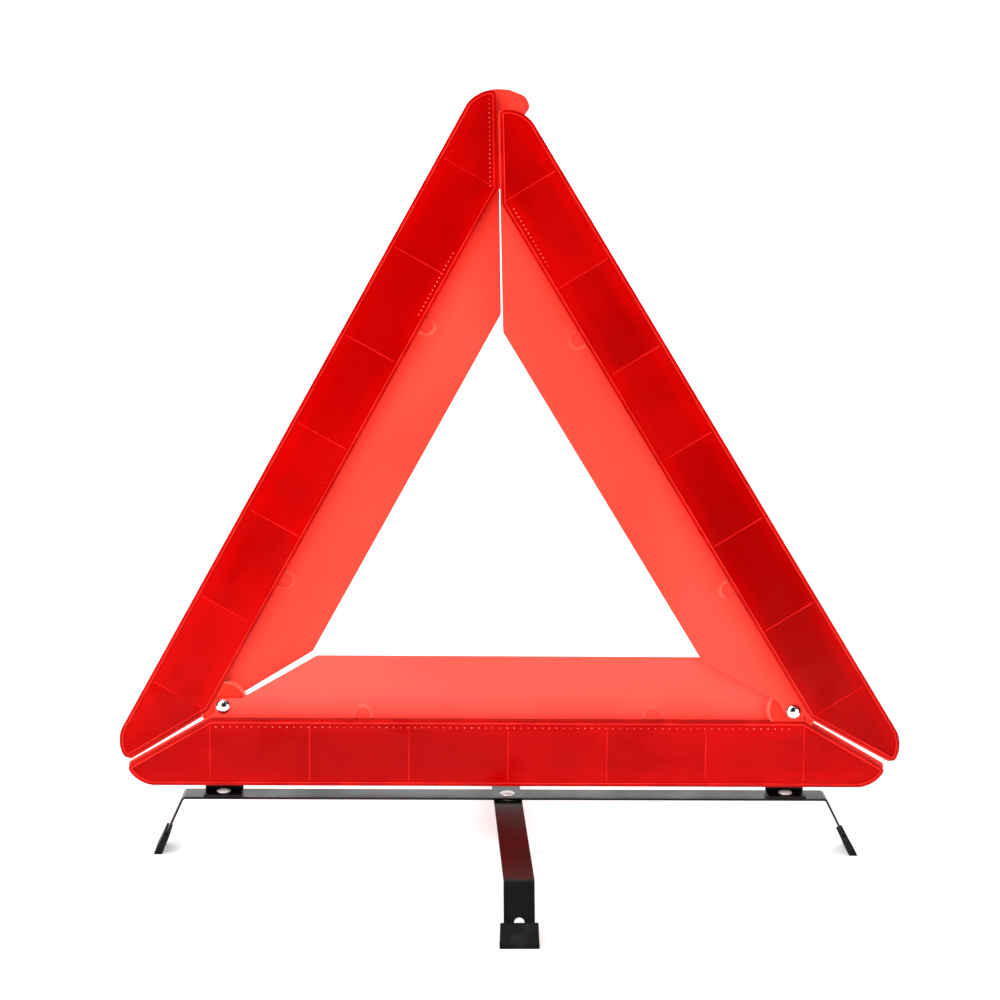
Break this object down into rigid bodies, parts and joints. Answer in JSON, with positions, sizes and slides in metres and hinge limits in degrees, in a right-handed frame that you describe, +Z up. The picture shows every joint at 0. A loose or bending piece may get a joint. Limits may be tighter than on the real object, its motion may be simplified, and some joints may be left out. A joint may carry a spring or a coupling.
{
  "type": "warning triangle",
  "caption": "Folding roadside warning triangle: three fluorescent arms with red reflector lenses, riveted together on a low crossed steel strip stand with rubber feet.",
  "frame": {"origin": "on the ground below the middle of the stand, where the two strips cross", "axes": "+X to the right for a driver who looks at the sign, +Y away from that driver, +Z up"},
  "size_m": [0.4406, 0.2996, 0.426],
  "materials": {
    "lens": "gloss",
    "panel": "satin",
    "black_paint": "gloss",
    "bright_rivet": "polished",
    "washer": "matte",
    "rubber": "matte"
  },
  "bodies": {
    "base": {"base_panel": "panel", "base_lens": "lens", "left_pivot_rivet": "bright_rivet", "right_pivot_rivet": "bright_rivet", "left_pivot_washer": "bright_rivet", "right_pivot_washer": "bright_rivet", "left_bracket": "black_paint", "right_bracket": "black_paint", "left_bracket_rivet": "bright_rivet", "right_bracket_rivet": "bright_rivet", "left_panel_rivets": "bright_rivet", "right_panel_rivets": "bright_rivet", "stand_bar": "black_paint", "leg_pivot_rivet": "bright_rivet", "leg_pivot_washer": "washer", "left_foot": "rubber", "right_foot": "rubber"},
    "left_arm": {"left_panel": "panel", "left_lens": "lens"},
    "right_arm": {"right_panel": "panel", "right_lens": "lens"},
    "cross_leg_set": {"cross_leg": "black_paint", "front_foot": "rubber", "rear_foot": "rubber"}
  },
  "joints": [
    {"name": "left_arm_fold", "type": "hinge", "parent": "base", "child": "left_arm", "pos_m": [-0.161, 0.0071, 0.0816], "axis": [0, -0.9954, 0.0958], "range_deg": [-61.3, 0]},
    {"name": "right_arm_fold", "type": "hinge", "parent": "base", "child": "right_arm", "pos_m": [0.161, 0.0071, 0.0816], "axis": [0, -0.9954, 0.0958], "range_deg": [0, 58.2]},
    {"name": "cross_leg_turn", "type": "hinge", "parent": "base", "child": "cross_leg_set", "pos_m": [0, 0, 0.0308], "axis": [0, 0, 1], "continuous": true}
  ]
}
